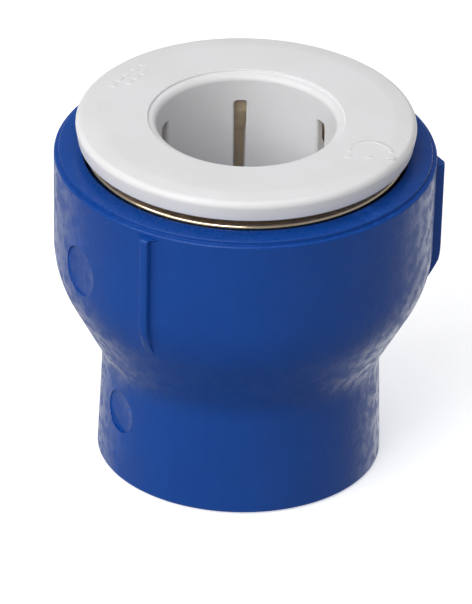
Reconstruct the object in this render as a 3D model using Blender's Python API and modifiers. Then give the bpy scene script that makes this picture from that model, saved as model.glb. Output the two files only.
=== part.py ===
"""Push-to-connect adapter: a 25 mm fusion socket below, a 22 mm push-in tube port above.

All lengths are metres. +Z runs up the bore, the origin is the centre of the bottom face, and the
ribs stand at 0, 120 and 240 degrees from +X. Heights are worked out from the bottom face upwards.
"""

import math

import bmesh
import bpy

MM = 0.001

# What the fitting joins
TUBE_RADIUS = 11.0 * MM
PIPE_RADIUS = 12.5 * MM

# Room between pieces
SEAT_GAP = 0.3 * MM            # between two pieces that rest against each other
TUBE_ROOM = 0.2 * MM           # radial, between the tube and what it slides through
NECK_ROOM = 0.35 * MM          # radial, between the collet's neck and the sleeve's throat
FUSION_SQUEEZE = 0.4 * MM      # radial, how much smaller the socket is than the pipe before fusion

# Body: lower neck, shoulder and barrel
FOOT_WALL = 5.6 * MM
NECK_TAPER = 0.4 * MM          # radial, how much the neck narrows upwards
NECK_DROP = 1.7 * MM           # from the pipe's stop down to the top of the neck
SHOULDER_DROP = 1.5 * MM       # from the washer's seat down to the foot of the barrel
BARREL_WALL = 3.5 * MM
BARREL_TAPER = 0.3 * MM        # radial, how much the barrel narrows downwards
LEDGE_DROP = 0.5 * MM          # from the top face down to the ledge round it
LEDGE_WIDTH = 0.6 * MM
NECK_FILLET = 7.4 * MM
SHOULDER_FILLET = 15.3 * MM
EDGE_FILLET = 0.3 * MM
MOUTH_CHAMFER = 0.8 * MM

# Body: bore, from the bottom up
SOCKET_DEPTH = 16.0 * MM
STOP_THICKNESS = 2.5 * MM
STOP_REACH = 2.0 * MM          # radial, how far the stop covers the tube's end
TUBE_POCKET_DEPTH = 5.5 * MM

# Ribs on the barrel
RIB_COUNT = 3
RIB_WIDTH = 1.1 * MM
RIB_PROUD = 0.95 * MM
RIB_TOP_DROP = 0.7 * MM        # from the ledge down to the rib's top
RIB_RUNOUT = 3.7 * MM          # height over which the rib's lower end dies into the barrel
RIB_ROOT = 1.5 * MM            # how deep the rib's solid starts inside the barrel
RIB_FOOT_DROP = 2.0 * MM       # from the shoulder corner down to the rib's lower tip

# Seal ring
SEAL_SECTION = 2.62 * MM
SEAL_SQUEEZE = 0.25 * MM       # radial, how much smaller its hole is than the tube

# Backing washer
WASHER_ROOM = 0.4 * MM         # radial, between the washer's hole and the tube
WASHER_LEDGE = 1.5 * MM        # radial, how far the washer bears on the body outside the seal
WASHER_THICKNESS = 2.0 * MM

# Brass sleeve
SLEEVE_WALL = 1.45 * MM
SLEEVE_LENGTH = 12.8 * MM
SLEEVE_RIM_WIDTH = 4.1 * MM
SLEEVE_RIM_THICKNESS = 2.0 * MM
SLEEVE_RIM_FILLET = 0.35 * MM
RIM_PROUD = 0.4 * MM           # from the body's top face up to the rim's top
THROAT_LENGTH = 2.0 * MM       # straight part of the throat above the cam
CAM_SLOPE = 0.5                # radial run of the cam for each unit of height
BARB_COUNT = 3
BARB_PROUD = 0.4 * MM
BARB_PITCH = 2.2 * MM
BARB_START = 1.6 * MM          # above the sleeve's lower end

# Collet
NECK_WALL = 1.0 * MM
FLANGE_OVERHANG = 1.3 * MM     # radial, how far the flange reaches past the sleeve's rim
FLANGE_THICKNESS = 2.95 * MM
FLANGE_BEVEL_WIDTH = 2.7 * MM   # radial, of the shallow slope round the flange's flat top
FLANGE_BEVEL_DROP = 0.28 * MM
FLANGE_TOP_FILLET = 0.8 * MM
FLANGE_LOW_FILLET = 0.3 * MM
FLANGE_TAPER = 0.5 * MM        # radial, how much the flange narrows downwards
RELEASE_TRAVEL = 1.0 * MM      # how far the collet is pushed in to let the tube go
FLANGE_STOP_GAP = 0.1 * MM     # left under the flange when it is pushed in
PULL_PLAY = 0.3 * MM           # how far the collet moves out before its heads meet the cam
LIP_STEP = 0.3 * MM
LIP_WIDTH = 1.1 * MM
LIP_FILLET = 0.8 * MM
HEAD_PROUD = 1.9 * MM          # how far a finger's head stands out from the neck
HEAD_ROOM = 0.45 * MM          # radial, between the heads and the sleeve
HEAD_TIP_CHAMFER = 0.7 * MM
FINGER_COUNT = 6
SLIT_WIDTH = 1.7 * MM
SLIT_START = 0.95 * MM         # below the flange's underside
FINGER_TURN = math.radians(4)  # direction of the first finger's middle, from +X

# Grip teeth
TOOTH_WIDTH = 5.0 * MM
TOOTH_LENGTH = 3.0 * MM
TOOTH_THICKNESS = 0.5 * MM
TOOTH_POINTS = 5
TOOTH_NOTCH = 0.45 * MM
TOOTH_BITE = 0.15 * MM         # radial, how far the tips reach past the tube's surface
TOOTH_TILT = math.radians(35)  # tips point down and inwards
TOOTH_ABOVE_TIP = 2.1 * MM     # from the finger's tip up to the tooth's points

# Fineness
TURN_STEPS = 48
SEAL_RING_STEPS = 10
ARC_STEP = math.radians(30)
SHARP_ANGLE = math.radians(30)
MERGE = 0.00001

# Radii that follow, from the bore outwards
BORE_RADIUS = TUBE_RADIUS + TUBE_ROOM
FLOW_RADIUS = TUBE_RADIUS - STOP_REACH
SEAL_HOLE = TUBE_RADIUS - SEAL_SQUEEZE
SEAL_SEAT_RADIUS = SEAL_HOLE + SEAL_SECTION + SEAT_GAP
WASHER_RADIUS = SEAL_SEAT_RADIUS + WASHER_LEDGE
WASHER_POCKET_RADIUS = WASHER_RADIUS + SEAT_GAP
COLLET_NECK = BORE_RADIUS + NECK_WALL
THROAT_RADIUS = COLLET_NECK + NECK_ROOM
HEAD_RADIUS = COLLET_NECK + HEAD_PROUD
CAVITY_RADIUS = HEAD_RADIUS + HEAD_ROOM
SLEEVE_RADIUS = CAVITY_RADIUS + SLEEVE_WALL
SLEEVE_POCKET_RADIUS = SLEEVE_RADIUS + BARB_PROUD + SEAT_GAP
RIM_RADIUS = SLEEVE_RADIUS + SLEEVE_RIM_WIDTH
RIM_POCKET_RADIUS = RIM_RADIUS + SEAT_GAP
FLANGE_RADIUS = RIM_RADIUS + FLANGE_OVERHANG
BARREL_RADIUS = RIM_POCKET_RADIUS + BARREL_WALL
SHOULDER_RADIUS = BARREL_RADIUS - BARREL_TAPER
SOCKET_RADIUS = PIPE_RADIUS - FUSION_SQUEEZE
FOOT_RADIUS = SOCKET_RADIUS + FOOT_WALL
NECK_RADIUS = FOOT_RADIUS - NECK_TAPER
TOOTH_TIP_RADIUS = TUBE_RADIUS - TOOTH_BITE

# Heights that follow, from the bottom face upwards
NECK_HEIGHT = SOCKET_DEPTH - NECK_DROP
STOP_TOP = SOCKET_DEPTH + STOP_THICKNESS
SEAL_FLOOR = STOP_TOP + TUBE_POCKET_DEPTH
WASHER_SEAT = SEAL_FLOOR + SEAL_SECTION + 2 * SEAT_GAP
SHOULDER_HEIGHT = WASHER_SEAT - SHOULDER_DROP
WASHER_LOW = WASHER_SEAT + SEAT_GAP
WASHER_TOP = WASHER_LOW + WASHER_THICKNESS
SLEEVE_LOW = WASHER_TOP + SEAT_GAP
SLEEVE_TOP = SLEEVE_LOW + SLEEVE_LENGTH
RIM_LOW = SLEEVE_TOP - SLEEVE_RIM_THICKNESS
BODY_TOP = SLEEVE_TOP - RIM_PROUD
LEDGE_HEIGHT = BODY_TOP - LEDGE_DROP
CAM_TOP = SLEEVE_TOP - THROAT_LENGTH
CAM_LOW = CAM_TOP - (CAVITY_RADIUS - THROAT_RADIUS) / CAM_SLOPE
FINGER_TIP = WASHER_TOP + RELEASE_TRAVEL + SEAT_GAP
HEAD_CONE_TOP = CAM_TOP - PULL_PLAY - SEAT_GAP + NECK_ROOM / CAM_SLOPE
HEAD_CONE_LOW = HEAD_CONE_TOP - HEAD_PROUD / CAM_SLOPE
FLANGE_LOW = SLEEVE_TOP + RELEASE_TRAVEL + FLANGE_STOP_GAP
FLANGE_TOP = FLANGE_LOW + FLANGE_THICKNESS
TOOTH_TIP_HEIGHT = FINGER_TIP + TOOTH_ABOVE_TIP


def clear_scene():
    for old in list(bpy.data.objects):
        bpy.data.objects.remove(old, do_unlink=True)


def collection(name, shown=True):
    made = bpy.data.collections.new(name)
    made.hide_render = not shown
    bpy.context.scene.collection.children.link(made)
    return made


def material(name, color, roughness, metallic=0.0):
    made = bpy.data.materials.new(name)
    made.use_nodes = True
    shader = made.node_tree.nodes["Principled BSDF"]
    shader.inputs["Base Color"].default_value = (*color, 1.0)
    shader.inputs["Roughness"].default_value = roughness
    shader.inputs["Metallic"].default_value = metallic
    return made


def rounded(corners):
    """Points of a closed (radius, height) outline; a corner's third value is the radius of its arc."""
    points = []
    for index, corner in enumerate(corners):
        here = complex(corner[0], corner[1])
        fillet = corner[2] if len(corner) > 2 else 0.0
        if not fillet:
            points.append(here)
            continue
        before = complex(*corners[index - 1][:2]) - here
        after = complex(*corners[(index + 1) % len(corners)][:2]) - here
        before /= abs(before)
        after /= abs(after)
        between = math.acos(before.real * after.real + before.imag * after.imag)
        middle = (before + after) / abs(before + after)
        centre = here + middle * fillet / math.sin(between / 2)
        reach = fillet / math.tan(between / 2)
        start = here + before * reach - centre
        turn = math.pi - between
        if (start.conjugate() * (here + after * reach - centre)).imag < 0:
            turn = -turn
        steps = max(2, math.ceil(abs(turn) / ARC_STEP))
        for step in range(steps + 1):
            angle = turn * step / steps
            points.append(centre + start * complex(math.cos(angle), math.sin(angle)))
    return [(point.real, point.imag) for point in points]


def turned(name, outline, where):
    """A closed outline swept once round the Z axis."""
    profile = bmesh.new()
    corners = [profile.verts.new((radius, 0.0, height)) for radius, height in outline]
    for index, corner in enumerate(corners):
        profile.edges.new((corner, corners[(index + 1) % len(corners)]))
    mesh = bpy.data.meshes.new(name)
    profile.to_mesh(mesh)
    profile.free()
    made = bpy.data.objects.new(name, mesh)
    where.objects.link(made)
    screw = made.modifiers.new("turn", "SCREW")
    screw.steps = TURN_STEPS
    screw.render_steps = TURN_STEPS
    screw.use_merge_vertices = True
    screw.merge_threshold = MERGE
    return made


def prism(name, outline, thickness, where):
    """A flat outline in X and Y, filled and given a thickness about its own plane, as a mesh."""
    curve = bpy.data.curves.new(name, "CURVE")
    curve.dimensions = "2D"
    curve.fill_mode = "BOTH"
    curve.extrude = thickness / 2
    spline = curve.splines.new("POLY")
    spline.points.add(len(outline) - 1)
    for point, (x, y) in zip(spline.points, outline):
        point.co = (x, y, 0.0, 1.0)
    spline.use_cyclic_u = True
    guide = bpy.data.objects.new(name + "_outline", curve)
    where.objects.link(guide)
    mesh = evaluated_mesh(guide)
    mesh.name = name
    welded = bmesh.new()
    welded.from_mesh(mesh)
    bmesh.ops.remove_doubles(welded, verts=welded.verts, dist=MERGE)
    welded.to_mesh(mesh)
    welded.free()
    bpy.data.objects.remove(guide)
    made = bpy.data.objects.new(name, mesh)
    where.objects.link(made)
    return made


def block(name, size, where):
    """A box of this size about its own centre."""
    shape = bmesh.new()
    bmesh.ops.create_cube(shape, size=1.0)
    bmesh.ops.scale(shape, vec=size, verts=shape.verts)
    mesh = bpy.data.meshes.new(name)
    shape.to_mesh(mesh)
    shape.free()
    made = bpy.data.objects.new(name, mesh)
    where.objects.link(made)
    return made


def helper(obj):
    obj.hide_render = True
    obj.display_type = "WIRE"
    return obj


def evaluated_mesh(obj):
    bpy.context.view_layer.update()
    graph = bpy.context.evaluated_depsgraph_get()
    return bpy.data.meshes.new_from_object(obj.evaluated_get(graph))


def combine(obj, tools, operation):
    for tool in tools:
        boolean = obj.modifiers.new(tool.name, "BOOLEAN")
        boolean.operation = operation
        boolean.solver = "EXACT"
        boolean.object = tool


def finish(obj, look):
    """Keeps the piece as the modifiers leave it, smooth where it is round."""
    shape = evaluated_mesh(obj)
    shape.name = obj.name
    obj.modifiers.clear()
    obj.data = shape
    shape.shade_smooth()
    shape.set_sharp_from_angle(angle=SHARP_ANGLE)
    shape.materials.clear()
    shape.materials.append(look)
    return obj


def around(count, start=0.0):
    return [start + math.tau * index / count for index in range(count)]


def body_outline():
    lip_radius = BARREL_RADIUS - LEDGE_WIDTH
    return rounded([
        (RIM_POCKET_RADIUS, BODY_TOP),
        (lip_radius, BODY_TOP, EDGE_FILLET / 2),
        (lip_radius, LEDGE_HEIGHT),
        (BARREL_RADIUS, LEDGE_HEIGHT, EDGE_FILLET),
        (SHOULDER_RADIUS, SHOULDER_HEIGHT, SHOULDER_FILLET),
        (NECK_RADIUS, NECK_HEIGHT, NECK_FILLET),
        (FOOT_RADIUS, 0.0, EDGE_FILLET),
        (SOCKET_RADIUS + MOUTH_CHAMFER, 0.0),
        (SOCKET_RADIUS, MOUTH_CHAMFER),
        (SOCKET_RADIUS, SOCKET_DEPTH),
        (FLOW_RADIUS, SOCKET_DEPTH),
        (FLOW_RADIUS, STOP_TOP),
        (BORE_RADIUS, STOP_TOP),
        (BORE_RADIUS, SEAL_FLOOR),
        (SEAL_SEAT_RADIUS, SEAL_FLOOR),
        (SEAL_SEAT_RADIUS, WASHER_SEAT),
        (WASHER_POCKET_RADIUS, WASHER_SEAT),
        (WASHER_POCKET_RADIUS, WASHER_TOP),
        (SLEEVE_POCKET_RADIUS, WASHER_TOP),
        (SLEEVE_POCKET_RADIUS, RIM_LOW - SEAT_GAP),
        (RIM_POCKET_RADIUS, RIM_LOW - SEAT_GAP),
    ])


def rib_outline():
    """Side view of a rib: X is the radius and Y the height."""
    foot = SHOULDER_HEIGHT - RIB_FOOT_DROP
    top = LEDGE_HEIGHT - RIB_TOP_DROP
    root = SHOULDER_RADIUS - RIB_ROOT
    face = BARREL_RADIUS + RIB_PROUD
    return [
        (root, foot),
        (root, top),
        (face - EDGE_FILLET, top),
        (face, top - EDGE_FILLET),
        (face, foot + RIB_RUNOUT),
        (SHOULDER_RADIUS - EDGE_FILLET, foot),
    ]


def make_body(parts, cutters):
    body = turned("body", body_outline(), parts)
    ribs = []
    for number, angle in enumerate(around(RIB_COUNT), start=1):
        rib = helper(prism(f"rib_{number}", rib_outline(), RIB_WIDTH, cutters))
        rib.rotation_euler = (math.pi / 2, 0.0, angle)
        ribs.append(rib)
    combine(body, ribs, "UNION")
    return finish(body, material("body_blue", (0.02, 0.08, 0.31), 0.3))


def make_seal(parts):
    middle = SEAL_HOLE + SEAL_SECTION / 2
    height = SEAL_FLOOR + SEAT_GAP + SEAL_SECTION / 2
    section = [
        (
            middle + SEAL_SECTION / 2 * math.cos(angle),
            height - SEAL_SECTION / 2 * math.sin(angle),
        )
        for angle in around(SEAL_RING_STEPS)
    ]
    return finish(turned("o_ring", section, parts), material("seal_rubber", (0.012, 0.012, 0.013), 0.6))


def make_washer(parts):
    hole = TUBE_RADIUS + WASHER_ROOM
    outline = [
        (hole, WASHER_TOP),
        (WASHER_RADIUS - EDGE_FILLET, WASHER_TOP),
        (WASHER_RADIUS, WASHER_TOP - EDGE_FILLET),
        (WASHER_RADIUS, WASHER_LOW),
        (hole, WASHER_LOW),
    ]
    return finish(turned("backing_washer", outline, parts), material("washer_acetal", (0.5, 0.5, 0.5), 0.45))


def make_sleeve(parts):
    outline = [
        (THROAT_RADIUS, SLEEVE_TOP, SLEEVE_RIM_FILLET),
        (RIM_RADIUS, SLEEVE_TOP, SLEEVE_RIM_FILLET),
        (RIM_RADIUS, RIM_LOW),
        (SLEEVE_RADIUS, RIM_LOW),
    ]
    for number in reversed(range(BARB_COUNT)):
        low = SLEEVE_LOW + BARB_START + BARB_PITCH * number
        outline += [
            (SLEEVE_RADIUS, low + BARB_PITCH / 2),
            (SLEEVE_RADIUS + BARB_PROUD, low + BARB_PITCH / 2),
            (SLEEVE_RADIUS, low),
        ]
    outline += [
        (SLEEVE_RADIUS, SLEEVE_LOW),
        (CAVITY_RADIUS, SLEEVE_LOW),
        (CAVITY_RADIUS, CAM_LOW),
        (THROAT_RADIUS, CAM_TOP),
    ]
    return finish(
        turned("cartridge_sleeve", rounded(outline), parts),
        material("sleeve_brass", (0.74, 0.53, 0.25), 0.28, metallic=1.0),
    )


def collet_outline():
    lip_radius = BORE_RADIUS + LIP_WIDTH
    lip_floor = FLANGE_TOP - LIP_STEP
    return rounded([
        (lip_radius, FLANGE_TOP),
        (FLANGE_RADIUS - FLANGE_BEVEL_WIDTH, FLANGE_TOP),
        (FLANGE_RADIUS, FLANGE_TOP - FLANGE_BEVEL_DROP, FLANGE_TOP_FILLET),
        (FLANGE_RADIUS - FLANGE_TAPER, FLANGE_LOW, FLANGE_LOW_FILLET),
        (COLLET_NECK, FLANGE_LOW),
        (COLLET_NECK, HEAD_CONE_TOP),
        (HEAD_RADIUS, HEAD_CONE_LOW),
        (HEAD_RADIUS, FINGER_TIP + HEAD_TIP_CHAMFER),
        (HEAD_RADIUS - HEAD_TIP_CHAMFER, FINGER_TIP),
        (BORE_RADIUS + HEAD_TIP_CHAMFER / 2, FINGER_TIP),
        (BORE_RADIUS, FINGER_TIP + HEAD_TIP_CHAMFER / 2),
        (BORE_RADIUS, lip_floor, LIP_FILLET),
        (lip_radius, lip_floor),
    ])


def slit_cutters(cutters):
    """Each box crosses the whole collet, so it cuts two opposite slits."""
    top = FLANGE_LOW - SLIT_START
    low = FINGER_TIP - SEAT_GAP
    reach = 2 * (HEAD_RADIUS + SEAT_GAP)
    made = []
    for number in range(FINGER_COUNT // 2):
        cutter = helper(block(f"slit_{number + 1}", (reach, SLIT_WIDTH, top - low), cutters))
        half_step = math.pi / FINGER_COUNT
        cutter.location.z = (top + low) / 2
        cutter.rotation_euler.z = FINGER_TURN + half_step + math.tau * number / FINGER_COUNT
        made.append(cutter)
    return made


def tooth_place(obj, angle):
    """Puts a plate, whose tips are at its own origin and which runs back along +X, on its finger."""
    obj.rotation_euler = (0.0, -TOOTH_TILT, angle)
    obj.location = (
        TOOTH_TIP_RADIUS * math.cos(angle),
        TOOTH_TIP_RADIUS * math.sin(angle),
        TOOTH_TIP_HEIGHT,
    )


def pocket_cutters(cutters):
    """Slots in the finger heads, a seat gap larger than the teeth all round."""
    size = (TOOTH_LENGTH + 2 * SEAT_GAP, TOOTH_WIDTH + 2 * SEAT_GAP, TOOTH_THICKNESS + 2 * SEAT_GAP)
    made = []
    for number, angle in enumerate(around(FINGER_COUNT, FINGER_TURN), start=1):
        cutter = helper(block(f"pocket_{number}", size, cutters))
        for corner in cutter.data.vertices:
            corner.co.x += TOOTH_LENGTH / 2
        tooth_place(cutter, angle)
        made.append(cutter)
    return made


def make_collet(parts, cutters):
    collet = turned("collet", collet_outline(), parts)
    combine(collet, slit_cutters(cutters) + pocket_cutters(cutters), "DIFFERENCE")
    return finish(collet, material("collet_acetal", (0.72, 0.72, 0.73), 0.35))


def tooth_outline():
    """Plan of a grip plate: points along its front edge, square at the back."""
    pitch = TOOTH_WIDTH / TOOTH_POINTS
    front = []
    for number in range(TOOTH_POINTS):
        left = -TOOTH_WIDTH / 2 + pitch * number
        front += [(TOOTH_NOTCH, left), (0.0, left + pitch / 2)]
    front.append((TOOTH_NOTCH, TOOTH_WIDTH / 2))
    return front + [(TOOTH_LENGTH, TOOTH_WIDTH / 2), (TOOTH_LENGTH, -TOOTH_WIDTH / 2)]


def make_teeth(parts):
    steel = material("tooth_steel", (0.6, 0.6, 0.58), 0.3, metallic=1.0)
    first = prism("grip_tooth_1", tooth_outline(), TOOTH_THICKNESS, parts)
    first.data.materials.clear()
    first.data.materials.append(steel)
    teeth = [first]
    for number in range(2, FINGER_COUNT + 1):
        copy = bpy.data.objects.new(f"grip_tooth_{number}", first.data)
        parts.objects.link(copy)
        teeth.append(copy)
    for tooth, angle in zip(teeth, around(FINGER_COUNT, FINGER_TURN)):
        tooth_place(tooth, angle)
    return teeth


def main():
    clear_scene()
    parts = collection("push_to_connect_fitting")
    cutters = collection("cutters", shown=False)
    make_body(parts, cutters)
    make_seal(parts)
    make_washer(parts)
    make_sleeve(parts)
    collet = make_collet(parts, cutters)
    for tooth in make_teeth(parts):
        place = tooth.matrix_basis.copy()
        tooth.parent = collet
        tooth.matrix_basis = place


main()
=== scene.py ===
import math

import bmesh
import bpy
from mathutils import Matrix, Vector


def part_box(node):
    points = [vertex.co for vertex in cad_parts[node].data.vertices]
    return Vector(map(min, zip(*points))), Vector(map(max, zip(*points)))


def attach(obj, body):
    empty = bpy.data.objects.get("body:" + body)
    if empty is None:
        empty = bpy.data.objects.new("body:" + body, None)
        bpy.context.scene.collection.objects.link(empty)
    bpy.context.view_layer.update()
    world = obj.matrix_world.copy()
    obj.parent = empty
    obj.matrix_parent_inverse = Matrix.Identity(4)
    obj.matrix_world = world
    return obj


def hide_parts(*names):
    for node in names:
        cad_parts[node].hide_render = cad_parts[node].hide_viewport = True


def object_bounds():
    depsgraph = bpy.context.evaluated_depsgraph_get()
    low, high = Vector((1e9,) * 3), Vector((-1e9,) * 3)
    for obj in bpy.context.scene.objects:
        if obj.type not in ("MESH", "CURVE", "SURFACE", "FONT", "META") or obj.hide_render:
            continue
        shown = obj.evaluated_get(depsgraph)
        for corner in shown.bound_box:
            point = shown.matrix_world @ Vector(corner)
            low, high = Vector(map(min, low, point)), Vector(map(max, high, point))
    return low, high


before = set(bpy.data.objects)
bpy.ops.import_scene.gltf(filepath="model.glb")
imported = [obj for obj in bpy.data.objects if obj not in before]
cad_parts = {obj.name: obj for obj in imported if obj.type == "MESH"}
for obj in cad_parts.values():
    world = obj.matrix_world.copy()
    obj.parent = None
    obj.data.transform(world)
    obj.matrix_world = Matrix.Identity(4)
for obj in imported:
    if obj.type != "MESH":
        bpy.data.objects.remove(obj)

bl_info = {
    "name": "Push to connect fitting",
    "version": (1, 0, 0),
    "blender": (4, 5, 0),
    "location": "View3D > Sidebar > Fitting",
    "description": "Builds the visible pieces of a push to connect fitting round its CAD model",
    "category": "Add Mesh",
}

MM = 0.001
FRAME_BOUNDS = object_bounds()
BODY_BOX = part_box("body")
COLLET_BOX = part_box("collet")
SLEEVE_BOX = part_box("cartridge_sleeve")
WASHER_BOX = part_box("backing_washer")
SEAL_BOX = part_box("o_ring")

HOUSING = "housing"
WASHER_BODY = "turning_washer"
COLLET_BODY = "release_collet"
FINGERS = 6
RIBS = 3


# ---------------------------------------------------------------- sizes, colours and stage settings

def length(label, text, millimetres):
    return bpy.props.FloatProperty(
        name=label, description=text, default=millimetres * MM, unit="LENGTH", precision=5
    )


def angle(label, text, degrees):
    return bpy.props.FloatProperty(
        name=label, description=text, default=math.radians(degrees), subtype="ANGLE"
    )


def colour(label, text, red, green, blue):
    return bpy.props.FloatVectorProperty(
        name=label, description=text, default=(red, green, blue), subtype="COLOR", min=0.0, max=1.0
    )


def share(label, text, value):
    return bpy.props.FloatProperty(name=label, description=text, default=value, min=0.0, max=1.0)


def power(label, text, watts):
    return bpy.props.FloatProperty(name=label, description=text, default=watts, subtype="POWER")


class FittingSizes(bpy.types.PropertyGroup):
    """Sizes of the fitting that its outer boxes don't give."""

    barrel_radius: length("Barrel radius", "Outside of the barrel at its top", 23.9)
    barrel_taper: length("Barrel taper", "How much the barrel narrows downwards", 0.3)
    shoulder_height: length("Shoulder height", "Foot of the barrel", 25.72)
    shoulder_fillet: length("Shoulder fillet", "Round between barrel and cone", 15.3)
    neck_radius: length("Neck radius", "Outside of the lower neck at its top", 17.3)
    neck_height: length("Neck height", "Top of the lower neck", 14.3)
    neck_fillet: length("Neck fillet", "Round between cone and neck", 7.4)
    foot_radius: length("Foot radius", "Outside of the neck at the bottom", 17.7)
    ledge_drop: length("Ledge drop", "From the top face down to the ledge round it", 0.5)
    ledge_width: length("Ledge width", "Width of the ledge round the top face", 0.6)
    socket_radius: length("Socket radius", "Bore of the pipe socket", 12.1)
    socket_depth: length("Socket depth", "Depth of the pipe socket", 16.0)
    stop_thickness: length("Stop thickness", "Web between pipe and tube", 2.5)
    flow_radius: length("Flow radius", "Bore through the web", 9.0)
    bore_radius: length("Tube bore radius", "Bore that the tube slides through", 11.2)
    seal_floor: length("Seal floor", "Height of the step under the seal", 24.0)
    seal_seat_radius: length("Seal seat radius", "Bore round the seal", 13.67)
    sleeve_pocket_radius: length("Sleeve pocket radius", "Bore round the sleeve", 16.7)
    gap: length("Gap", "Room between two pieces that rest against each other", 0.3)
    rib_width: length("Rib width", "Thickness of a rib", 1.1)
    rib_proud: length("Rib height", "How far a rib stands out", 0.95)
    rib_top: length("Rib top", "Height of the top of a rib", 41.02)
    rib_foot: length("Rib foot", "Height of the lower end of a rib", 23.72)
    rib_runout: length("Rib run-out", "Height over which a rib dies away", 3.7)
    pad_turn: angle("Mark turn", "Direction of the round mould marks", 211.0)
    pad_depth: length("Mark depth", "Depth of the round mould marks", 0.12)
    seal_section: length("Seal section", "Thickness of the seal ring", 2.62)
    rim_thickness: length("Rim thickness", "Thickness of the sleeve's rim", 2.0)
    sleeve_radius: length("Sleeve radius", "Outside of the sleeve", 16.0)
    throat_radius: length("Throat radius", "Bore of the sleeve's throat", 12.55)
    cavity_radius: length("Cavity radius", "Bore of the sleeve below the cam", 14.55)
    throat_length: length("Throat length", "Straight part of the throat", 2.0)
    cam_length: length("Cam length", "Height of the cam cone", 4.0)
    collet_neck: length("Collet neck radius", "Outside of the collet's neck", 12.0)
    flange_radius: length("Flange radius", "Outside of the collet's flange", 21.4)
    flange_thickness: length("Flange thickness", "Thickness of the collet's flange", 2.95)
    flange_bevel: length("Flange bevel", "Width of the shallow slope round the flat top", 2.7)
    flange_bevel_drop: length("Flange bevel drop", "How far that slope drops", 0.28)
    flange_fillet: length("Flange fillet", "Round on the flange's upper edge", 0.8)
    flange_low_fillet: length("Flange lower fillet", "Round on the flange's lower edge", 0.3)
    flange_taper: length("Flange taper", "How much the flange narrows downwards", 0.5)
    lip_width: length("Lip width", "Width of the shallow ring round the collet's bore", 1.1)
    lip_step: length("Lip step", "Depth of the shallow ring round the collet's bore", 0.3)
    mark_height: length("Mark height", "How far the flange's marks stand up", 0.04)
    head_radius: length("Head radius", "Outside of the finger heads", 14.1)
    head_top: length("Head cone top", "Height where a finger's head starts to widen", 39.6)
    head_cone: length("Head cone", "Height of the widening part of a head", 2.68)
    slit_width: length("Slit width", "Width of the slits between fingers", 1.65)
    slit_draft: length("Slit draft", "How much a slit narrows downwards", 0.35)
    slit_drop: length("Slit drop", "From the flange's underside down to the slits", 0.95)
    finger_turn: angle("Finger turn", "Direction of the first finger's middle", 4.0)
    tooth_width: length("Tooth width", "Width of a grip tooth", 5.0)
    tooth_length: length("Tooth length", "Length of a grip tooth", 3.0)
    tooth_thickness: length("Tooth thickness", "Thickness of a grip tooth", 0.5)
    tooth_tip_radius: length("Tooth tip radius", "Distance of the tooth points from the axis", 10.85)
    tooth_tip_height: length("Tooth tip height", "Height of the tooth points", 32.92)
    tooth_tilt: angle("Tooth tilt", "How steeply the teeth point down", 35.0)


class FittingColours(bpy.types.PropertyGroup):
    """Colours of the pieces, as linear values."""

    body: colour("Body", "Blue of the moulded body", 0.002, 0.064, 0.345)
    body_deep: colour("Body, deep", "Darker blue in the body's streaks", 0.002, 0.058, 0.316)
    collet: colour("Collet", "Pale grey of the collet", 0.87, 0.868, 0.885)
    collet_shade: colour("Collet, shade", "Slightly warmer grey in the collet", 0.845, 0.84, 0.845)
    brass: colour("Brass", "Turned brass", 0.9, 0.74, 0.5)
    brass_dull: colour("Brass, dull", "Brass that has dulled", 0.62, 0.47, 0.28)
    seal: colour("Seal", "Black rubber", 0.012, 0.012, 0.013)
    washer: colour("Washer", "Grey acetal", 0.46, 0.46, 0.47)
    steel: colour("Steel", "Stamped stainless steel", 0.58, 0.57, 0.55)
    floor: colour("Floor", "Pale floor", 0.9, 0.9, 0.9)


class StageSettings(bpy.types.PropertyGroup):
    """Camera and light."""

    elevation: angle("Elevation", "How far the camera looks down", 30.0)
    roll: angle("Roll", "Turn of the camera about its line of sight", 1.4)
    distance: bpy.props.FloatProperty(
        name="Distance", description="From the camera to the object", default=2.236, unit="LENGTH"
    )
    aim_height: length("Aim height", "Height on the axis that the camera is set by", 21.725)
    aim_right: length("Axis right", "How far right of the picture's middle the axis lies", 0.775)
    aim_up: length("Axis up", "How far above the picture's middle the aim height lies", 1.31)
    view_height: length("View height", "Height that fills the picture at the object", 75.5)
    key_power: power("Key power", "Power of the main softbox", 4.2)
    front_power: power("Front power", "Power of the small softbox near the camera", 1.3)
    top_power: power("Top power", "Power of the overhead softbox", 1.3)
    floor_glow: share("Floor glow", "How much light the floor adds of its own", 0.55)
    room: share("Room", "Brightness of the room above the floor", 0.3)
    room_low: share("Room, below", "Brightness of the room below the horizon", 0.5)
    room_back: share("Room, back", "Brightness that gloss mirrors from behind", 0.7)


# ---------------------------------------------------------------- shapes

def rounded(corners, arc_step=math.radians(6)):
    """Points of a closed (radius, height) outline; a corner's third value is the radius of its arc."""
    points = []
    for index, corner in enumerate(corners):
        here = complex(corner[0], corner[1])
        fillet = corner[2] if len(corner) > 2 else 0.0
        if not fillet:
            points.append((here.real, here.imag))
            continue
        before = complex(*corners[index - 1][:2]) - here
        after = complex(*corners[(index + 1) % len(corners)][:2]) - here
        before /= abs(before)
        after /= abs(after)
        between = math.acos(before.real * after.real + before.imag * after.imag)
        middle = (before + after) / abs(before + after)
        centre = here + middle * fillet / math.sin(between / 2)
        reach = fillet / math.tan(between / 2)
        start = here + before * reach - centre
        turn = math.pi - between
        if (start.conjugate() * (here + after * reach - centre)).imag < 0:
            turn = -turn
        steps = max(3, math.ceil(abs(turn) / arc_step))
        for step in range(steps + 1):
            swing = turn * step / steps
            point = centre + start * complex(math.cos(swing), math.sin(swing))
            points.append((point.real, point.imag))
    return points


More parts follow.
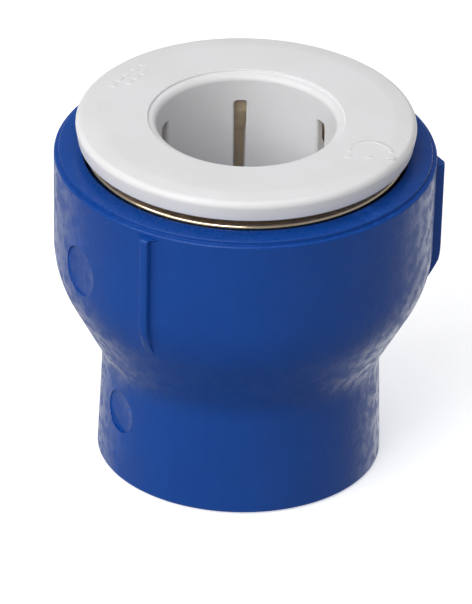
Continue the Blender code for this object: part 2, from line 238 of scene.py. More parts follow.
def mesh_object(name, shape, sharp=math.radians(35)):
    """Makes an object of a bmesh, smooth where it is round."""
    bmesh.ops.recalc_face_normals(shape, faces=shape.faces)
    mesh = bpy.data.meshes.new(name)
    shape.to_mesh(mesh)
    shape.free()
    mesh.shade_smooth()
    mesh.set_sharp_from_angle(angle=sharp)
    made = bpy.data.objects.new(name, mesh)
    bpy.context.scene.collection.objects.link(made)
    return made


def turned(outline, steps):
    """A bmesh of a closed (radius, height) outline swept once round the Z axis."""
    shape = bmesh.new()
    rings = []
    for turn in around(steps):
        places = [(radius * math.cos(turn), radius * math.sin(turn), height) for radius, height in outline]
        rings.append([shape.verts.new(place) for place in places])
    for ring, next_ring in zip(rings, rings[1:] + rings[:1]):
        for corner in range(len(outline)):
            before = corner - 1
            shape.faces.new((ring[before], ring[corner], next_ring[corner], next_ring[before]))
    on_axis = [vert for vert in shape.verts if math.hypot(vert.co.x, vert.co.y) < 1e-9]
    bmesh.ops.remove_doubles(shape, verts=on_axis, dist=1e-7)
    return shape


def prism(outline, low, high):
    """A bmesh of a flat outline in X and Y, filled and drawn up from low to high."""
    shape = bmesh.new()
    face = shape.faces.new([shape.verts.new((x, y, low)) for x, y in outline])
    drawn = bmesh.ops.extrude_face_region(shape, geom=[face])
    moved = [part for part in drawn["geom"] if isinstance(part, bmesh.types.BMVert)]
    bmesh.ops.translate(shape, verts=moved, vec=(0, 0, high - low))
    return shape


def soften(shape, width, segments=2, least=math.radians(40)):
    """Rounds the edges of a bmesh that are sharper than an angle."""
    shape.normal_update()
    edges = [edge for edge in shape.edges if len(edge.link_faces) == 2 and edge.calc_face_angle() > least]
    bmesh.ops.bevel(
        shape, geom=edges, offset=width, segments=segments, profile=0.5, affect="EDGES", clamp_overlap=True
    )
    return shape


def cut(piece, cutters):
    """Takes the cutters out of a piece and removes them."""
    for cutter in cutters:
        boolean = piece.modifiers.new(cutter.name, "BOOLEAN")
        boolean.operation = "DIFFERENCE"
        boolean.solver = "EXACT"
        boolean.object = cutter
    bpy.context.view_layer.update()
    graph = bpy.context.evaluated_depsgraph_get()
    carved = bpy.data.meshes.new_from_object(piece.evaluated_get(graph))
    piece.modifiers.clear()
    piece.data = carved
    carved.shade_smooth()
    carved.set_sharp_from_angle(angle=math.radians(35))
    for cutter in cutters:
        bpy.data.objects.remove(cutter)


def around(count, start=0.0):
    """Directions that share a full turn evenly."""
    return [start + math.tau * index / count for index in range(count)]


def settle(piece, body, slot, finish, *nodes):
    """Gives a piece its finish and its body, and hides the nodes that it stands for; the slot is not used.
    """
    piece.data.materials.clear()
    piece.data.materials.append(finish)
    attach(piece, body)
    if nodes:
        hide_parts(*nodes)


# ---------------------------------------------------------------- shader maths

class Wire:
    """A shader socket that takes Python arithmetic; each operation adds a Math node."""

    def __init__(self, recipe, socket):
        self.recipe = recipe
        self.socket = socket

    def maths(self, operation, *values):
        return self.recipe.node("ShaderNodeMath", {"operation": operation}, dict(enumerate(values)))

    def __add__(self, other):
        return self.maths("ADD", self, other)

    def __radd__(self, other):
        return self.maths("ADD", other, self)

    def __sub__(self, other):
        return self.maths("SUBTRACT", self, other)

    def __rsub__(self, other):
        return self.maths("SUBTRACT", other, self)

    def __mul__(self, other):
        return self.maths("MULTIPLY", self, other)

    def __rmul__(self, other):
        return self.maths("MULTIPLY", other, self)

    def between(self, low, high, to_low=0.0, to_high=1.0):
        """Maps low..high on to to_low..to_high, held at the ends, with soft ends."""
        settings = {"interpolation_type": "SMOOTHSTEP", "clamp": True}
        inputs = {"Value": self, "From Min": low, "From Max": high, "To Min": to_low, "To Max": to_high}
        return self.recipe.node("ShaderNodeMapRange", settings, inputs)


class Recipe:
    """The nodes of one material, or of the world, and the shader that they feed."""

    def __init__(self, owner, shader="Principled BSDF", place="Object", **constants):
        owner.use_nodes = True
        self.tree = owner.node_tree
        self.shader = self.tree.nodes[shader]
        self.set(**constants)
        self.place = self.node("ShaderNodeTexCoord", output=place)

    def node(self, kind, settings=None, inputs=None, output=0):
        """Adds a node: its settings first, then a number, colour or wire for each socket named."""
        made = self.tree.nodes.new(kind)
        for setting, value in (settings or {}).items():
            setattr(made, setting, value)
        for key, value in (inputs or {}).items():
            self.feed(self.find(made.inputs, key), value)
        return Wire(self, self.find(made.outputs, output))

    def find(self, sockets, key):
        if isinstance(key, int):
            return sockets[key]
        in_use = [socket for socket in sockets if socket.enabled]
        return next(socket for socket in in_use if key in (socket.name, socket.identifier))

    def feed(self, socket, value):
        if isinstance(value, Wire):
            self.tree.links.new(value.socket, socket)
        elif hasattr(value, "__len__") and len(value) == 3 and socket.type == "RGBA":
            socket.default_value = (*value, 1.0)
        else:
            socket.default_value = value

    def set(self, **values):
        for socket, value in values.items():
            self.feed(self.shader.inputs[socket.replace("_", " ")], value)

    def stretched(self, x, y, z):
        """Object coordinates scaled apart, so that a pattern is long along one axis."""
        return self.node(
            "ShaderNodeVectorMath", {"operation": "MULTIPLY"}, {0: self.place, 1: (x, y, z)}
        )

    def noise(self, size, detail=2.0, rough=0.5, place=None):
        """Clouds of about this size, from 0 to 1."""
        inputs = {"Vector": place or self.place, "Scale": 1.0 / size, "Detail": detail, "Roughness": rough}
        return self.node("ShaderNodeTexNoise", None, inputs, "Fac")

    def scratches(self, size):
        """Thin lines along the middle level of a noise, from 0 to 1."""
        level = self.noise(size, 1.0, 0.4) - 0.5
        off_level = self.node("ShaderNodeMath", {"operation": "ABSOLUTE"}, {0: level})
        return off_level.between(0.0, 0.008, 1.0, 0.0)

    def lathe_rings(self, fineness):
        """Fine rings round the bore's axis, from 0 to 1."""
        inputs = {"X": self.radius() * fineness, "Z": self.height() * fineness}
        place = self.node("ShaderNodeCombineXYZ", None, inputs, "Vector")
        return self.noise(1.0, 2.0, place=place)

    def mix(self, factor, first, second):
        settings = {"data_type": "RGBA", "blend_type": "MIX"}
        inputs = {"Factor_Float": factor, "A_Color": first, "B_Color": second}
        return self.node("ShaderNodeMix", settings, inputs, "Result_Color")

    def radius(self):
        """Distance from the bore's axis."""
        flat = self.stretched(1.0, 1.0, 0.0)
        return self.node("ShaderNodeVectorMath", {"operation": "LENGTH"}, {0: flat}, "Value")

    def height(self):
        return self.node("ShaderNodeSeparateXYZ", None, {0: self.place}, "Z")

    def bump(self, height, distance):
        return self.node("ShaderNodeBump", None, {"Height": height, "Distance": distance})

    def edges(self, low=0.515, high=0.6):
        """Where the surface bulges, from 0 to 1."""
        return self.node("ShaderNodeNewGeometry", output="Pointiness").between(low, high)


def blue_plastic(colours):
    """Moulded polypropylene: faint flow streaks, satin skin, lightly rubbed edges."""
    material = bpy.data.materials.new("blue_polypropylene")
    recipe = Recipe(material, IOR=1.49, Specular_IOR_Level=0.3)
    clouds = recipe.noise(9 * MM, 3.0)
    streaks = recipe.noise(1.0, 2.0, place=recipe.stretched(700, 700, 60))
    blend = (clouds * 0.6 + streaks * 0.4).between(0.3, 0.7)
    pigment = recipe.mix(blend, colours.body_deep, colours.body)
    rubbed = recipe.edges() * recipe.noise(1.2 * MM).between(0.35, 0.65)
    pale = tuple(min(1.0, channel * 1.6 + 0.02) for channel in colours.body)
    skin = recipe.noise(0.35 * MM, 3.0)
    orange = recipe.noise(2.2 * MM, 2.0)
    dimples = recipe.noise(0.9 * MM, 2.0)
    scuffs = recipe.scratches(14 * MM)
    mottled = recipe.noise(1.7 * MM, 3.0, 0.6).between(0.42, 0.6)
    recipe.set(
        Base_Color=recipe.mix(rubbed * 0.5, pigment, pale),
        Roughness=0.23 + skin * 0.05 + mottled * 0.2 + rubbed * 0.15 + scuffs * 0.05,
        Normal=recipe.bump(skin * 0.35 + orange + dimples * 0.8 - scuffs * 0.1, 0.036 * MM),
    )
    return material


def grey_acetal(colours):
    """Moulded acetal: pale, waxy, slightly uneven, with a fine grain."""
    material = bpy.data.materials.new("grey_acetal")
    recipe = Recipe(material, IOR=1.48)
    clouds = recipe.noise(7 * MM, 3.0)
    grain = recipe.noise(0.25 * MM, 3.0)
    waves = recipe.noise(3 * MM, 2.0)
    specks = recipe.noise(0.9 * MM, 2.0).between(0.7, 0.78)
    scuffs = recipe.scratches(11 * MM)
    base = recipe.mix(clouds.between(0.3, 0.7), colours.collet_shade, colours.collet)
    dirty = recipe.mix(specks * 0.12, base, (0.35, 0.34, 0.32))
    recipe.set(
        Base_Color=dirty,
        Roughness=0.36 + grain * 0.08 + clouds * 0.06,
        Normal=recipe.bump(grain * 0.3 + waves - scuffs * 0.4, 0.014 * MM),
    )
    return material


def turned_brass(colours):
    """Brass off a lathe: fine rings, a little tarnish in patches, and a dull oxide film on the inside."""
    material = bpy.data.materials.new("turned_brass")
    recipe = Recipe(material)
    rings = recipe.lathe_rings(9000.0)
    patches = recipe.noise(3.5 * MM, 4.0)
    inside = recipe.radius().between(15.0 * MM, 15.6 * MM, 1.0, 0.0)
    tarnish = patches.between(0.45, 0.72)
    grain = recipe.noise(0.3 * MM, 2.0)
    recipe.set(
        Base_Color=recipe.mix(tarnish * 0.55, colours.brass, colours.brass_dull),
        Metallic=1.0 - inside * 0.6,
        Roughness=0.13 + tarnish * 0.14 + rings * 0.08 + inside * 0.25,
        Normal=recipe.bump(rings + grain * 0.2, 0.006 * MM),
    )
    return material


def seal_rubber(colours):
    """Black rubber with a thin film of grease."""
    material = bpy.data.materials.new("seal_rubber")
    recipe = Recipe(material, IOR=1.5)
    grease = recipe.noise(2.5 * MM, 2.0).between(0.4, 0.62)
    grain = recipe.noise(0.15 * MM, 3.0)
    dusty = tuple(channel + 0.025 for channel in colours.seal)
    recipe.set(
        Base_Color=recipe.mix(recipe.noise(1.5 * MM).between(0.4, 0.8) * 0.6, colours.seal, dusty),
        Roughness=0.55 - grease * 0.3 + grain * 0.08,
        Normal=recipe.bump(grain, 0.01 * MM),
    )
    return material


def washer_plastic(colours):
    """Harder grey plastic with turned faces."""
    material = bpy.data.materials.new("washer_acetal")
    recipe = Recipe(material, IOR=1.48)
    rings = recipe.lathe_rings(5000.0)
    clouds = recipe.noise(4 * MM, 3.0)
    shade = tuple(channel * 0.82 for channel in colours.washer)
    recipe.set(
        Base_Color=recipe.mix(clouds.between(0.3, 0.7), shade, colours.washer),
        Roughness=0.4 + rings * 0.12,
        Normal=recipe.bump(rings, 0.008 * MM),
    )
    return material


def stamped_steel(colours):
    """Stainless strip: rolled grain along the strip, bright sheared edges."""
    material = bpy.data.materials.new("stamped_steel")
    recipe = Recipe(material, Metallic=1.0)
    grain = recipe.noise(1.0, 2.0, place=recipe.stretched(6000, 6000, 700))
    patches = recipe.noise(1.2 * MM, 2.0)
    dull = tuple(channel * 0.6 for channel in colours.steel)
    recipe.set(
        Base_Color=recipe.mix(patches.between(0.35, 0.7) * 0.5, colours.steel, dull),
        Roughness=0.24 + grain * 0.14 - recipe.edges() * 0.08,
        Normal=recipe.bump(grain, 0.004 * MM),
    )
    return material


def floor_finish(colours, glow):
    """Matt pale paper that glows a little, as on a light table."""
    material = bpy.data.materials.new("floor_paper")
    recipe = Recipe(material)
    fibre = recipe.noise(1.5 * MM, 3.0)
    tone = tuple(channel * 0.985 for channel in colours.floor)
    recipe.set(
        Base_Color=recipe.mix(fibre, tone, colours.floor),
        Roughness=0.85 + fibre * 0.1,
        Normal=recipe.bump(fibre, 0.02 * MM),
        Emission_Color=(1.0, 1.0, 1.0),
        Emission_Strength=glow,
    )
    return material


# ---------------------------------------------------------------- pieces

# Half of a rib's cross-section: distance from its middle as a share of its width, and share of its height
RIB_SECTION = ((0.0, 1.0), (0.36, 1.0), (0.45, 0.95), (0.5, 0.85), (0.53, 0.15), (0.58, 0.04), (0.72, 0.0))
# Rows of points round the rib's top, in millimetres above it
RIB_TOP_STEPS = (0.06, 0.0, -0.04, -0.12, -0.25, -0.5)


def barrel_line(sizes, height):
    """Radius of the barrel's straight side at a height."""
    top = BODY_BOX[1].z - sizes.ledge_drop
    climb = (height - sizes.shoulder_height) / (top - sizes.shoulder_height)
    return sizes.barrel_radius - sizes.barrel_taper * (1 - climb)


def body_outline(sizes):
    """The body's section: down its outside, up the pipe socket, through the web and up the tube's side."""
    top = BODY_BOX[1].z
    edge = sizes.gap
    ledge = top - sizes.ledge_drop
    lip = sizes.barrel_radius - sizes.ledge_width
    rim_pocket = SLEEVE_BOX[1].x + edge
    stop_top = sizes.socket_depth + sizes.stop_thickness
    washer_seat = WASHER_BOX[0].z - edge
    washer_pocket = WASHER_BOX[1].x + edge
    rim_low = SLEEVE_BOX[1].z - sizes.rim_thickness
    mouth_chamfer = 0.8 * MM
    rib_rows = [sizes.rib_top + step * MM for step in RIB_TOP_STEPS]
    corners = [
        (rim_pocket, top, edge / 2),
        (lip, top, edge / 2),
        (lip, ledge, edge / 3),
        (sizes.barrel_radius, ledge, edge),
        *[(barrel_line(sizes, height), height) for height in rib_rows],
        (barrel_line(sizes, sizes.shoulder_height), sizes.shoulder_height, sizes.shoulder_fillet),
        (sizes.neck_radius, sizes.neck_height, sizes.neck_fillet),
        (sizes.foot_radius, 0.0, edge),
        (sizes.socket_radius + mouth_chamfer, 0.0, edge / 2),
        (sizes.socket_radius, mouth_chamfer, edge / 2),
        (sizes.socket_radius, sizes.socket_depth, edge),
        (sizes.flow_radius, sizes.socket_depth, edge),
        (sizes.flow_radius, stop_top, edge),
        (sizes.bore_radius, stop_top, edge),
        (sizes.bore_radius, sizes.seal_floor, edge / 2),
        (sizes.seal_seat_radius, sizes.seal_floor, edge / 2),
        (sizes.seal_seat_radius, washer_seat, edge / 2),
        (washer_pocket, washer_seat),
        (washer_pocket, SLEEVE_BOX[0].z - edge),
        (sizes.sleeve_pocket_radius, SLEEVE_BOX[0].z - edge),
        (sizes.sleeve_pocket_radius, rim_low - edge),
        (rim_pocket, rim_low - edge),
    ]
    return rounded(corners, math.radians(3))


def rib_share(sizes, height):
    """How much a rib stands out at this height, as a share of all it can."""
    bare = 0.03 * MM
    eased = 0.25 * MM
    if height > sizes.rib_top - bare:
        return 0.0
    near_top = min(1.0, 0.8 + 0.2 * (sizes.rib_top - height) / eased)
    near_foot = min(1.0, max(0.0, (height - sizes.rib_foot) / sizes.rib_runout))
    return near_top * near_foot


def raise_ribs(sizes, shape, steps):
    """Moves the columns of points next to each rib's middle together and outwards."""
    inner_side = 0.5 * (sizes.barrel_radius + SLEEVE_BOX[1].x) - 2 * MM
    for vert in shape.verts:
        radius = math.hypot(vert.co.x, vert.co.y)
        lift = rib_share(sizes, vert.co.z)
        in_bore = radius < inner_side and vert.co.z > sizes.shoulder_height
        if in_bore or radius < sizes.neck_radius + MM or lift <= 0:
            continue
        column = round(math.atan2(vert.co.y, vert.co.x) / math.tau * steps)
        nearest = round(column * RIBS / steps)
        offset = column - nearest * steps / RIBS
        if abs(offset) >= len(RIB_SECTION):
            continue
        across, proud = RIB_SECTION[int(abs(offset))]
        swing = math.copysign(across * sizes.rib_width / radius, offset)
        turn = math.tau * nearest / RIBS + swing
        reach = radius + proud * sizes.rib_proud * lift
        vert.co.x = reach * math.cos(turn)
        vert.co.y = reach * math.sin(turn)


def make_body(sizes, finish):
    steps = 360
    shape = turned(body_outline(sizes), steps)
    raise_ribs(sizes, shape, steps)
    body = mesh_object("fitting_body", shape)
    barrel_mark = {"height": 31.1 * MM, "radius": barrel_line(sizes, 31.1 * MM), "size": 3.35 * MM}
    neck_mark = {"height": 9.2 * MM, "radius": sizes.neck_radius + 0.15 * MM, "size": 2.85 * MM}
    cut(body, [pad_cutter(sizes, "barrel_mark", **barrel_mark), pad_cutter(sizes, "neck_mark", **neck_mark)])
    settle(body, HOUSING, "body_blue", finish, "body")


def pad_cutter(sizes, name, height, radius, size):
    """A round flat-ended cutter that leaves an ejector mark in the wall facing one way."""
    depth = sizes.pad_depth
    inner = radius - size * size / (2 * radius) - depth
    outer = radius + 2 * MM
    soft = 0.1 * MM
    corners = [(0.0, inner), (size - soft, inner, soft), (size + soft, outer), (0.0, outer)]
    outline = rounded(corners, math.radians(20))
    cutter = mesh_object(name, turned(outline, 96))
    cutter.matrix_world = (
        Matrix.Translation((0, 0, height))
        @ Matrix.Rotation(sizes.pad_turn, 4, "Z")
        @ Matrix.Rotation(math.pi / 2, 4, "Y")
    )
    return cutter


def collet_outline(sizes):
    """The collet's section: flange, neck, finger head and bore."""
    top = COLLET_BOX[1].z
    tip = COLLET_BOX[0].z
    low = top - sizes.flange_thickness
    lip = sizes.bore_radius + sizes.lip_width
    chamfer = 0.7 * MM
    soft = 0.15 * MM
    return rounded([
        (lip, top, soft / 2),
        (sizes.flange_radius - sizes.flange_bevel, top, 6 * MM),
        (sizes.flange_radius, top - sizes.flange_bevel_drop, sizes.flange_fillet),
        (sizes.flange_radius - sizes.flange_taper, low, sizes.flange_low_fillet),
        (sizes.collet_neck, low, 2 * soft),
        (sizes.collet_neck, sizes.head_top, 2 * MM),
        (sizes.head_radius, sizes.head_top - sizes.head_cone, 2 * soft),
        (sizes.head_radius, tip + chamfer, 2 * soft),
        (sizes.head_radius - chamfer, tip, soft),
        (sizes.bore_radius + chamfer / 2, tip, soft),
        (sizes.bore_radius, tip + chamfer / 2, soft),
        (sizes.bore_radius, top - sizes.lip_step, 0.8 * MM),
        (lip, top - sizes.lip_step, soft / 3),
    ])


def slit_outline(sizes, wider):
    """Plan of a slot that narrows downwards, with round upper corners."""
    top = COLLET_BOX[1].z - sizes.flange_thickness - sizes.slit_drop + wider
    low = COLLET_BOX[0].z - MM
    half = sizes.slit_width / 2 + wider
    foot = half - sizes.slit_draft / 2
    corner = 0.45 * MM + wider
    return rounded([(foot, low), (half, top, corner), (-half, top, corner), (-foot, low)], math.radians(15))


def slit_cutter(sizes, number, turn):
    """A slot drawn outwards through the wall, wider at the bore so that its edges come out chamfered."""
    chamfer = 0.16 * MM
    layers = (
        (sizes.bore_radius - 2 * MM, chamfer),
        (sizes.bore_radius - 0.02 * MM, chamfer),
        (sizes.bore_radius + chamfer, 0.0),
        (sizes.head_radius + MM, 0.0),
    )
    shape = bmesh.new()
    rings = [[shape.verts.new((x, y, out)) for x, y in slit_outline(sizes, wider)] for out, wider in layers]
    shape.faces.new(rings[0])
    shape.faces.new(rings[-1])
    for ring, next_ring in zip(rings, rings[1:]):
        for corner in range(len(ring)):
            shape.faces.new((ring[corner - 1], ring[corner], next_ring[corner], next_ring[corner - 1]))
    cutter = mesh_object(f"slit_{number}", shape)
    upright = Matrix(((0, 0, 1, 0), (1, 0, 0, 0), (0, 1, 0, 0), (0, 0, 0, 1)))
    cutter.matrix_world = Matrix.Rotation(turn, 4, "Z") @ upright
    return cutter


def tooth_place(sizes, turn):
    """Where a tooth's points are, with the plate running back and up along its own X."""
    return (
        Matrix.Rotation(turn, 4, "Z")
        @ Matrix.Translation((sizes.tooth_tip_radius, 0, sizes.tooth_tip_height))
        @ Matrix.Rotation(-sizes.tooth_tilt, 4, "Y")
    )


def pocket_cutter(sizes, number, turn):
    """The slot that a tooth lies in, with room all round."""
    room = sizes.gap
    half = sizes.tooth_width / 2 + room
    thick = sizes.tooth_thickness / 2 + room
    back = sizes.tooth_length + room
    outline = [(-room, -half), (back, -half), (back, half), (-room, half)]
    cutter = mesh_object(f"pocket_{number}", prism(outline, -thick, thick))
    cutter.matrix_world = tooth_place(sizes, turn)
    return cutter


def make_collet(sizes, finish):
    collet = mesh_object("fitting_collet", turned(collet_outline(sizes), 240))
    half_step = math.pi / FINGERS
    fingers = enumerate(around(FINGERS, sizes.finger_turn))
    between_fingers = enumerate(around(FINGERS, sizes.finger_turn + half_step))
    slits = [slit_cutter(sizes, number, turn) for number, turn in between_fingers]
    pockets = [pocket_cutter(sizes, number, turn) for number, turn in fingers]
    cut(collet, slits + pockets)
    settle(collet, COLLET_BODY, "collet_acetal", finish, "collet")


def arc_bar(radius, start, end, width, steps=24):
    """Plan of a bar that follows a circle."""
    turns = [start + (end - start) * step / steps for step in range(steps + 1)]
    out = radius + width / 2
    back = radius - width / 2
    outer = [(out * math.cos(turn), out * math.sin(turn)) for turn in turns]
    inner = [(back * math.cos(turn), back * math.sin(turn)) for turn in reversed(turns)]
    return outer + inner


def join(shape, bar):
    """Adds one bmesh to another."""
    mesh = bpy.data.meshes.new("bar")
    bar.to_mesh(mesh)
    bar.free()
    shape.from_mesh(mesh)
    bpy.data.meshes.remove(mesh)


def raised(sizes, outline):
    """A low bar with soft edges that stands on the flange."""
    top = COLLET_BOX[1].z
    return soften(prism(outline, top - 0.1 * MM, top + sizes.mark_height), 0.8 * sizes.mark_height)


def rows_of_dashes(sizes):
    """Two rows of raised dashes that follow the flange."""
    middle = math.radians(146)
    pitch = 5.2
    dash_turn = math.radians(3.6)
    dash_width = 0.7 * MM
    rows = bmesh.new()
    for radius, dashes in ((18.3 * MM, 5), (16.8 * MM, 3)):
        for dash in range(dashes):
            start = middle + math.radians(pitch * (dash - dashes / 2))
            join(rows, raised(sizes, arc_bar(radius, start, start + dash_turn, dash_width, 6)))
    return rows


def arch_over_dashes(sizes):
    """A raised half circle with three separate dashes under it."""
    foot = Vector((17.2 * MM, 0)) @ Matrix.Rotation(math.radians(27), 2)
    half = 2.6 * MM
    half_dash = 0.5 * MM
    low = -1.7 * MM
    high = -1.1 * MM
    outlines = [arc_bar(half, 0.0, math.pi, 0.6 * MM)]
    for middle in (-half, 0.0, half):
        left = middle - half_dash
        right = middle + half_dash
        outlines.append([(left, low), (right, low), (right, high), (left, high)])
    arch = bmesh.new()
    for outline in outlines:
        join(arch, raised(sizes, [(foot.x + x, foot.y + y) for x, y in outline]))
    return arch


def make_flange_marks(sizes, finish):
    """Plain raised marks on the flange, without any lettering."""
    for number, shape in enumerate((rows_of_dashes(sizes), arch_over_dashes(sizes)), start=1):
        settle(mesh_object(f"flange_mark_{number}", shape), COLLET_BODY, "collet_acetal", finish)


def make_sleeve(sizes, finish):
    low = SLEEVE_BOX[0].z
    top = SLEEVE_BOX[1].z
    rim = SLEEVE_BOX[1].x
    soft = 0.12 * MM
    cam_top = top - sizes.throat_length
    barb_count = 3
    barb_start = 1.6
    barb_pitch = 2.2
    barb_length = 1.1 * MM
    barb_radius = sizes.sleeve_radius + 0.4 * MM
    barbs = []
    for number in reversed(range(barb_count)):
        foot = low + (barb_start + barb_pitch * number) * MM
        barbs += [
            (sizes.sleeve_radius, foot + barb_length),
            (barb_radius, foot + barb_length, soft / 2),
            (sizes.sleeve_radius, foot),
        ]
    outline = rounded([
        (sizes.throat_radius, top, 3 * soft),
        (rim, top, 3.4 * soft),
        (rim, top - sizes.rim_thickness, soft),
        (sizes.sleeve_radius, top - sizes.rim_thickness, soft),
        *barbs,
        (sizes.sleeve_radius, low, 2 * soft),
        (sizes.cavity_radius, low, 2 * soft),
        (sizes.cavity_radius, cam_top - sizes.cam_length, MM),
        (sizes.throat_radius, cam_top, MM),
    ])
    sleeve = mesh_object("brass_sleeve", turned(outline, 256))
    settle(sleeve, HOUSING, "sleeve_brass", finish, "cartridge_sleeve")


def make_seal(sizes, finish):
    """A round ring with a thin mould line inside and outside."""
    half = sizes.seal_section / 2
    middle = SEAL_BOX[1].x - half
    height = (SEAL_BOX[0].z + SEAL_BOX[1].z) / 2
    flash = 0.04 * MM
    flash_spread = 0.15
    section = []
    for turn in around(48):
        swell = flash * max(0.0, 1 - abs(math.sin(turn)) / flash_spread)
        reach = half - flash + swell
        section.append((middle + reach * math.cos(turn), height + reach * math.sin(turn)))
    settle(mesh_object("seal_ring", turned(section, 192)), HOUSING, "seal_rubber", finish, "o_ring")


def make_washer(sizes, finish):
    low = WASHER_BOX[0].z
    top = WASHER_BOX[1].z
    tube_room = 0.2 * MM
    hole = sizes.bore_radius + tube_room
    soft = 0.25 * MM
    edge = WASHER_BOX[1].x
    outline = rounded([(hole, top, soft), (edge, top, soft), (edge, low, soft), (hole, low, soft)])
    washer = mesh_object("support_washer", turned(outline, 192))
    settle(washer, WASHER_BODY, "washer_acetal", finish, "backing_washer")


def make_teeth(sizes, finish):
    """Six flat plates, each with a row of points at its front edge."""
    points = 5
    notch = 0.45 * MM
    pitch = sizes.tooth_width / points
    half = sizes.tooth_thickness / 2
    front = []
    for number in range(points):
        left = -sizes.tooth_width / 2 + pitch * number
        front += [(notch, left), (0.0, left + pitch / 2)]
    front.append((notch, sizes.tooth_width / 2))
    side = sizes.tooth_width / 2
    back = [(sizes.tooth_length, side), (sizes.tooth_length, -side)]
    for number, turn in enumerate(around(FINGERS, sizes.finger_turn), start=1):
        tooth = mesh_object(f"grip_plate_{number}", soften(prism(front + back, -half, half), 0.05 * MM))
        tooth.matrix_world = tooth_place(sizes, turn)
        settle(tooth, COLLET_BODY, "tooth_steel", finish, f"grip_tooth_{number}")


# ---------------------------------------------------------------- stage

def softbox(name, place, target, width, height, watts):
    """A soft light at a place, in metres, that faces the target."""
    light = bpy.data.lights.new(name, "AREA")
    light.shape = "RECTANGLE"
    light.size = width
    light.size_y = height
    light.energy = watts
    lamp = bpy.data.objects.new(name, light)
    lamp.location = place
    lamp.rotation_euler = (Vector(target) - Vector(place)).to_track_quat("-Z", "Y").to_euler()
    bpy.context.scene.collection.objects.link(lamp)


def make_floor(finish):
    """A plain floor just under the fitting, left out of gloss and of bounced light."""
    half_width = 1.5
    drop = 0.2 * MM
    shape = bmesh.new()
    bmesh.ops.create_grid(shape, x_segments=8, y_segments=8, size=half_width)
    floor = mesh_object("floor", shape)
    floor.location.z = FRAME_BOUNDS[0].z - drop
    floor.data.materials.append(finish)
    floor.visible_glossy = False
    floor.visible_diffuse = False


def make_lights(stage):
    target = (0.0, 0.0, stage.aim_height)
    left = (-0.52, -0.43, 0.54)
    front = (-0.17, -0.62, 0.66)
    overhead = (0.0, 0.05, 0.85)
    softbox("key_softbox", left, target, width=0.8, height=0.5, watts=stage.key_power)
    softbox("front_softbox", front, target, width=0.3, height=0.3, watts=stage.front_power)
    softbox("top_softbox", overhead, target, width=0.6, height=0.6, watts=stage.top_power)


def make_world(stage):
    """The room: even above the horizon; below it dimmer straight down and brighter behind."""
    world = bpy.data.worlds.new("studio_room")
    recipe = Recipe(world, "Background", "Generated")
    across, along, up = (
        recipe.node("ShaderNodeSeparateXYZ", None, {0: recipe.place}, axis) for axis in "XYZ"
    )
    left_to_right = across.between(-0.3, 0.3, 0.6, 1.0)
    back = along.between(0.25, 0.65) * left_to_right * stage.room_back
    straight_down = up.between(-1.0, -0.6, 0.5, 1.0)
    below = back + straight_down * stage.room_low
    above = up.between(-0.02, 0.02)
    recipe.set(Strength=below + above * (stage.room - below), Color=(1.0, 1.0, 1.0))
    bpy.context.scene.world = world


def make_camera(stage):
    """A long lens at the chosen elevation, set so that the aim height lands off the picture's middle."""
    tilt = Matrix.Rotation(math.pi / 2 - stage.elevation, 4, "X")
    roll = Matrix.Rotation(stage.roll, 4, "Z")
    turn = tilt @ roll
    aim = Vector((0, 0, stage.aim_height)) - turn.to_3x3() @ Vector((stage.aim_right, stage.aim_up, 0))
    data = bpy.data.cameras.new("studio_camera")
    data.sensor_fit = "VERTICAL"
    data.sensor_height = 36.0
    data.lens = data.sensor_height * stage.distance / stage.view_height
    data.clip_end = 20.0
    camera = bpy.data.objects.new("studio_camera", data)
    camera.matrix_world = Matrix.Translation(aim + turn.to_3x3() @ Vector((0, 0, stage.distance))) @ turn
    bpy.context.scene.collection.objects.link(camera)
    bpy.context.scene.camera = camera


# ---------------------------------------------------------------- operators and panel

class BuildBody(bpy.types.Operator):
    """Builds the blue body with its ribs and moulding marks"""

    bl_idname = "fitting.build_body"
    bl_label = "Body"

    def execute(self, context):
        finish = blue_plastic(context.scene.fitting_colours)
        make_body(context.scene.fitting_sizes, finish)
        return {"FINISHED"}


class BuildCollet(bpy.types.Operator):
    """Builds the slotted release collet and the raised marks on its flange"""

    bl_idname = "fitting.build_collet"
    bl_label = "Collet"

    def execute(self, context):
        finish = grey_acetal(context.scene.fitting_colours)
        make_collet(context.scene.fitting_sizes, finish)
        make_flange_marks(context.scene.fitting_sizes, finish)
        return {"FINISHED"}


class BuildTeeth(bpy.types.Operator):
    """Builds the steel teeth in the collet's fingers"""

    bl_idname = "fitting.build_teeth"
    bl_label = "Grip teeth"

    def execute(self, context):
        make_teeth(context.scene.fitting_sizes, stamped_steel(context.scene.fitting_colours))
        return {"FINISHED"}


class BuildSleeve(bpy.types.Operator):
    """Builds the brass sleeve that holds the collet"""

    bl_idname = "fitting.build_sleeve"
    bl_label = "Brass sleeve"

    def execute(self, context):
        make_sleeve(context.scene.fitting_sizes, turned_brass(context.scene.fitting_colours))
        return {"FINISHED"}


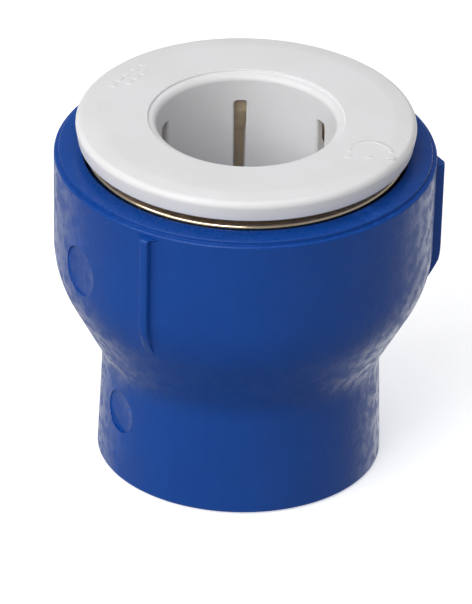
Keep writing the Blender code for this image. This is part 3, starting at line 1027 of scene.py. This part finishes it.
class BuildSeal(bpy.types.Operator):
    """Builds the seal ring and the washer above it"""

    bl_idname = "fitting.build_seal"
    bl_label = "Seal and washer"

    def execute(self, context):
        colours = context.scene.fitting_colours
        make_seal(context.scene.fitting_sizes, seal_rubber(colours))
        make_washer(context.scene.fitting_sizes, washer_plastic(colours))
        return {"FINISHED"}


class BuildStage(bpy.types.Operator):
    """Builds the floor, the lights, the surround and the camera"""

    bl_idname = "fitting.build_stage"
    bl_label = "Stage"

    def execute(self, context):
        make_floor(floor_finish(context.scene.fitting_colours, context.scene.fitting_stage.floor_glow))
        make_lights(context.scene.fitting_stage)
        make_world(context.scene.fitting_stage)
        make_camera(context.scene.fitting_stage)
        context.scene.view_settings.view_transform = "Standard"
        return {"FINISHED"}


OPERATORS = (BuildStage, BuildBody, BuildSleeve, BuildSeal, BuildCollet, BuildTeeth)
GROUPS = (FittingSizes, FittingColours, StageSettings)


class FittingPanel(bpy.types.Panel):
    """Lists the steps that build the fitting"""

    bl_idname = "VIEW3D_PT_fitting"
    bl_label = "Push to connect fitting"
    bl_space_type = "VIEW_3D"
    bl_region_type = "UI"
    bl_category = "Fitting"

    def draw(self, context):
        for operator in OPERATORS:
            self.layout.operator(operator.bl_idname)


def register():
    for item in (*GROUPS, *OPERATORS, FittingPanel):
        bpy.utils.register_class(item)
    bpy.types.Scene.fitting_sizes = bpy.props.PointerProperty(type=FittingSizes)
    bpy.types.Scene.fitting_colours = bpy.props.PointerProperty(type=FittingColours)
    bpy.types.Scene.fitting_stage = bpy.props.PointerProperty(type=StageSettings)


def unregister():
    del bpy.types.Scene.fitting_stage
    del bpy.types.Scene.fitting_colours
    del bpy.types.Scene.fitting_sizes
    for item in reversed((*GROUPS, *OPERATORS, FittingPanel)):
        bpy.utils.unregister_class(item)


def main():
    register()
    bpy.ops.fitting.build_stage()
    bpy.ops.fitting.build_body()
    bpy.ops.fitting.build_sleeve()
    bpy.ops.fitting.build_seal()
    bpy.ops.fitting.build_collet()
    bpy.ops.fitting.build_teeth()


if __name__ == "__main__":
    main()
